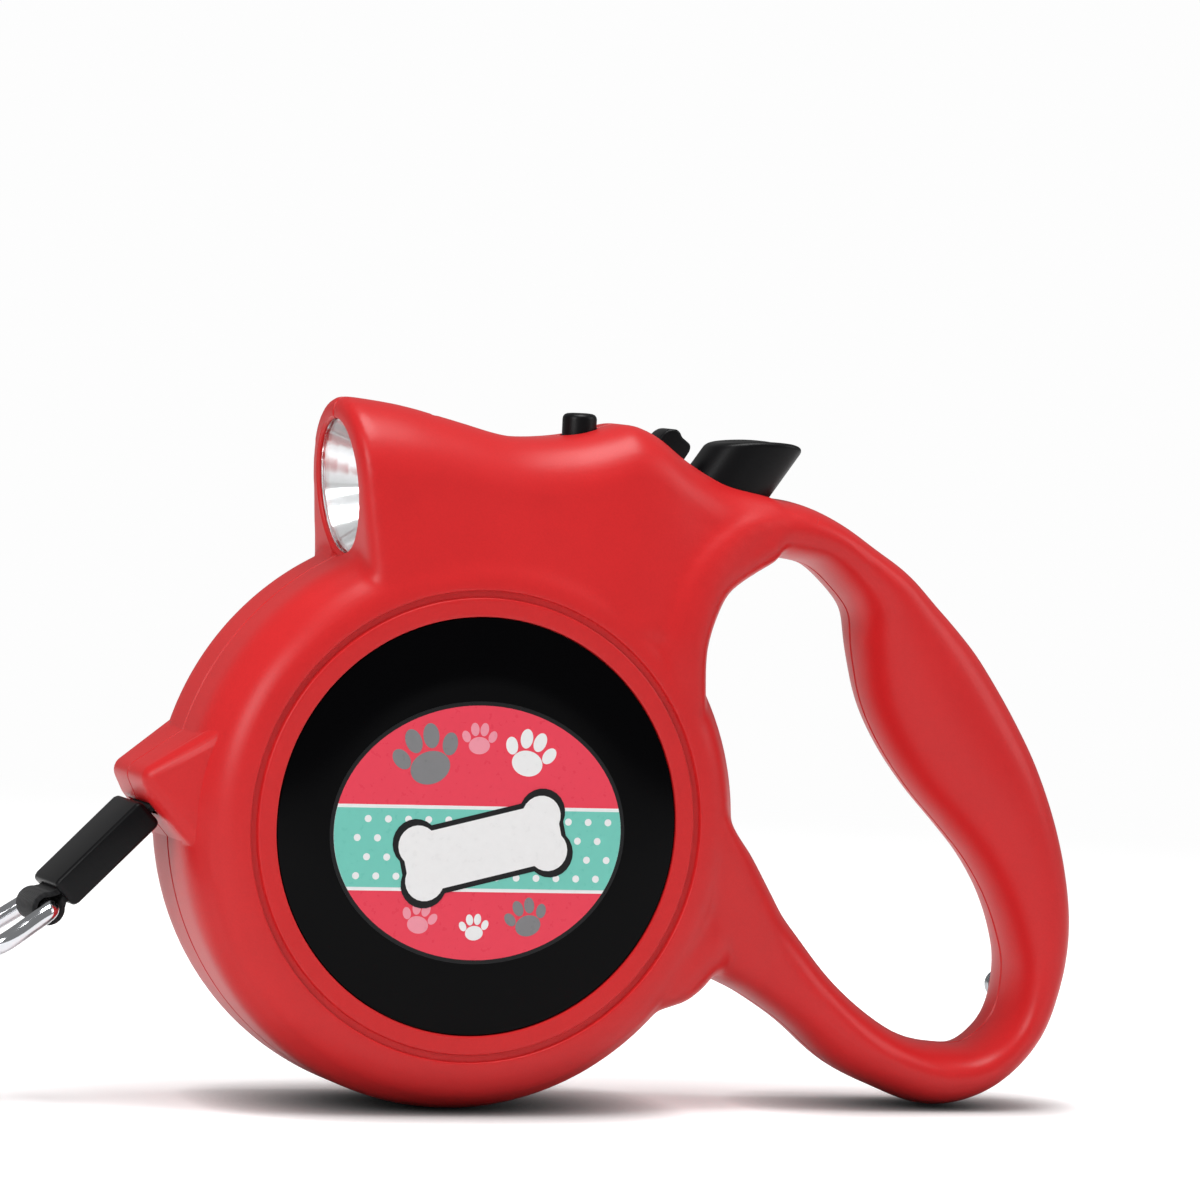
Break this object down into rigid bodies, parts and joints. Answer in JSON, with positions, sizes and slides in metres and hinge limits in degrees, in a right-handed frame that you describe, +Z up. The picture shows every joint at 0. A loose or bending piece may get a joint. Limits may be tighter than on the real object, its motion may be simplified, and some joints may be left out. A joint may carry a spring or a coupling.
{
  "type": "retractable leash",
  "caption": "Retractable tape leash: round two-part case with a hand loop, thumb brake and lock, front lamp, sprung tape spool and a swivel snap hook.",
  "frame": {"origin": "on the surface that the leash stands on, in the case's parting plane, midway between the hook's end and the back of the hand loop (the drum's axis passes above it)", "axes": "+X from the nozzle towards the hand loop, +Y across the case, away from the left face, +Z up"},
  "size_m": [0.2351, 0.0388, 0.1219],
  "materials": {
    "red_plastic": "satin, fine moulded texture",
    "black_plastic": "satin",
    "badge_black": "high gloss",
    "pale_plastic": "natural nylon",
    "webbing": "ribbed woven tape",
    "steel": "plain",
    "spring_steel": "blued",
    "chrome": "mirror",
    "brass": "plain",
    "lens": "clear",
    "led": "gloss",
    "board": "solder mask",
    "wire": "plain"
  },
  "bodies": {
    "case": {"left_shell": "red_plastic", "right_shell": "red_plastic", "left_badge": "badge_black", "right_badge": "badge_black", "case_screws": "steel", "axle": "steel", "power_spring": "spring_steel", "brake_spring": "spring_steel", "lock_pin": "steel", "lamp_lens": "lens", "lamp_reflector": "chrome", "lamp_led": "led", "led_board": "board", "lamp_switch": "black_plastic", "button_cells": "steel", "battery_holder": "black_plastic", "battery_contacts": "brass", "battery_door": "red_plastic", "battery_door_screw": "steel", "lamp_wires": "wire"},
    "spool": {"spool": "pale_plastic", "spool_flange": "pale_plastic", "spring_cover": "pale_plastic", "tape_coil": "webbing"},
    "tape_end": {"tape_run": "webbing", "tape_stopper": "black_plastic", "tape_loop": "webbing"},
    "brake": {"brake_button": "black_plastic", "brake_plunger": "pale_plastic"},
    "lock": {"brake_lock": "black_plastic"},
    "lamp_button": {"lamp_switch_cap": "black_plastic"},
    "hook_eye": {"hook_eye": "chrome"},
    "hook": {"hook_body": "chrome", "hook_spring": "spring_steel"},
    "bolt": {"hook_bolt": "chrome"}
  },
  "joints": [
    {"name": "tape_pull", "type": "slide", "parent": "case", "child": "tape_end", "axis": [-0.7071, 0, -0.7071], "range_m": [0, 3], "stiffness_N_per_m": 1.5, "springref_m": -2.5},
    {"name": "spool_spin", "type": "hinge", "parent": "case", "child": "spool", "pos_m": [0, 0, 0.0496], "axis": [0, -1, 0], "range_deg": [0, 5940], "deforming": ["power_spring"]},
    {"name": "brake_press", "type": "slide", "parent": "case", "child": "brake", "axis": [-0.5736, 0, -0.8192], "range_m": [0, 0.0045], "stiffness_N_per_m": 700, "springref_m": -0.003, "deforming": ["brake_spring"]},
    {"name": "lock_swing", "type": "hinge", "parent": "case", "child": "lock", "pos_m": [0.03499, 0, 0.109], "axis": [0, -1, 0], "range_deg": [0, 20]},
    {"name": "lamp_press", "type": "slide", "parent": "case", "child": "lamp_button", "axis": [0, 0, -1], "range_m": [0, 0.0015], "stiffness_N_per_m": 1200, "springref_m": -0.001},
    {"name": "hook_swing", "type": "hinge", "parent": "tape_end", "child": "hook_eye", "pos_m": [-0.07128, 0, 0.03334], "axis": [0, 1, 0], "range_deg": [-75, 75]},
    {"name": "hook_swivel", "type": "hinge", "parent": "hook_eye", "child": "hook", "pos_m": [-0.07128, 0, 0.03334], "axis": [-0.8329, 0, -0.5534], "continuous": true},
    {"name": "bolt_slide", "type": "slide", "parent": "hook", "child": "bolt", "axis": [0.8329, 0, 0.5534], "range_m": [0, 0.006], "stiffness_N_per_m": 500, "springref_m": -0.003, "deforming": ["hook_spring"]}
  ],
  "couplings": [
    {"joint": "spool_spin", "follows": "tape_pull", "rad_per_m": 34.558}
  ]
}
